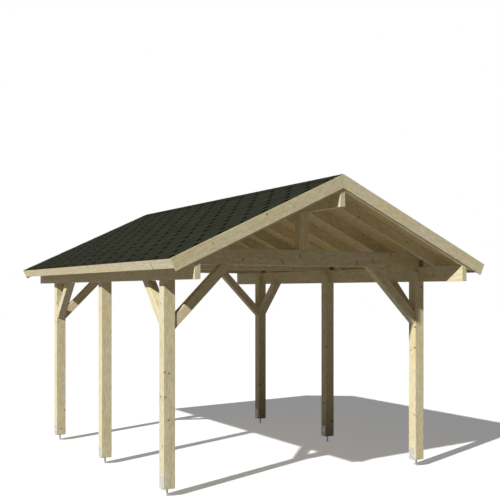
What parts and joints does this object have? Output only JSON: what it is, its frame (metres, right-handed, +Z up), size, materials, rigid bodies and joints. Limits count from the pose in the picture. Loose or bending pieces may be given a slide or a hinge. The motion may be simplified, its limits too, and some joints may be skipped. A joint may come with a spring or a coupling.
{
  "type": "carport",
  "caption": "Open timber carport for a car: posts on steel anchors, wall plates, tie beams, king posts and knee braces under a shingled gable roof.",
  "frame": {"origin": "on the ground, under the middle of the roof", "axes": "+X to the right and +Y to the rear as one drives in, +Z up"},
  "size_m": [3.714, 5.24, 3.174],
  "materials": {
    "timber": "planed spruce, unfinished",
    "fascia_timber": "planed spruce board, unfinished",
    "roof_boarding": "tongued and grooved spruce boards",
    "shingle": "bitumen shingle with mineral granules",
    "galvanised_steel": "hot-dip galvanised, dull",
    "bracket_steel": "dark zinc-plated angle"
  },
  "bodies": {
    "root": {"cross_brace_left_front": "timber", "cross_brace_left_rear": "timber", "cross_brace_right_front": "timber", "cross_brace_right_rear": "timber", "eave_fascia_left": "fascia_timber", "eave_fascia_right": "fascia_timber", "king_post_front": "timber", "king_post_middle": "timber", "king_post_rear": "timber", "post_anchors": "galvanised_steel", "post_left_front": "timber", "post_left_middle": "timber", "post_left_rear": "timber", "post_right_front": "timber", "post_right_middle": "timber", "post_right_rear": "timber", "rafters_left": "timber", "rafters_right": "timber", "rake_board_left_front": "fascia_timber", "rake_board_left_rear": "fascia_timber", "rake_board_right_front": "fascia_timber", "rake_board_right_rear": "fascia_timber", "ridge_beam": "timber", "ridge_cap": "shingle", "roof_boards_left": "roof_boarding", "roof_boards_right": "roof_boarding", "shingles_left": "shingle", "shingles_right": "shingle", "side_brace_left_front": "timber", "side_brace_left_rear": "timber", "side_brace_right_front": "timber", "side_brace_right_rear": "timber", "tie_beam_front": "timber", "tie_beam_middle": "timber", "tie_beam_rear": "timber", "tie_brackets": "bracket_steel", "wall_plate_left": "timber", "wall_plate_right": "timber"}
  },
  "joints": []
}
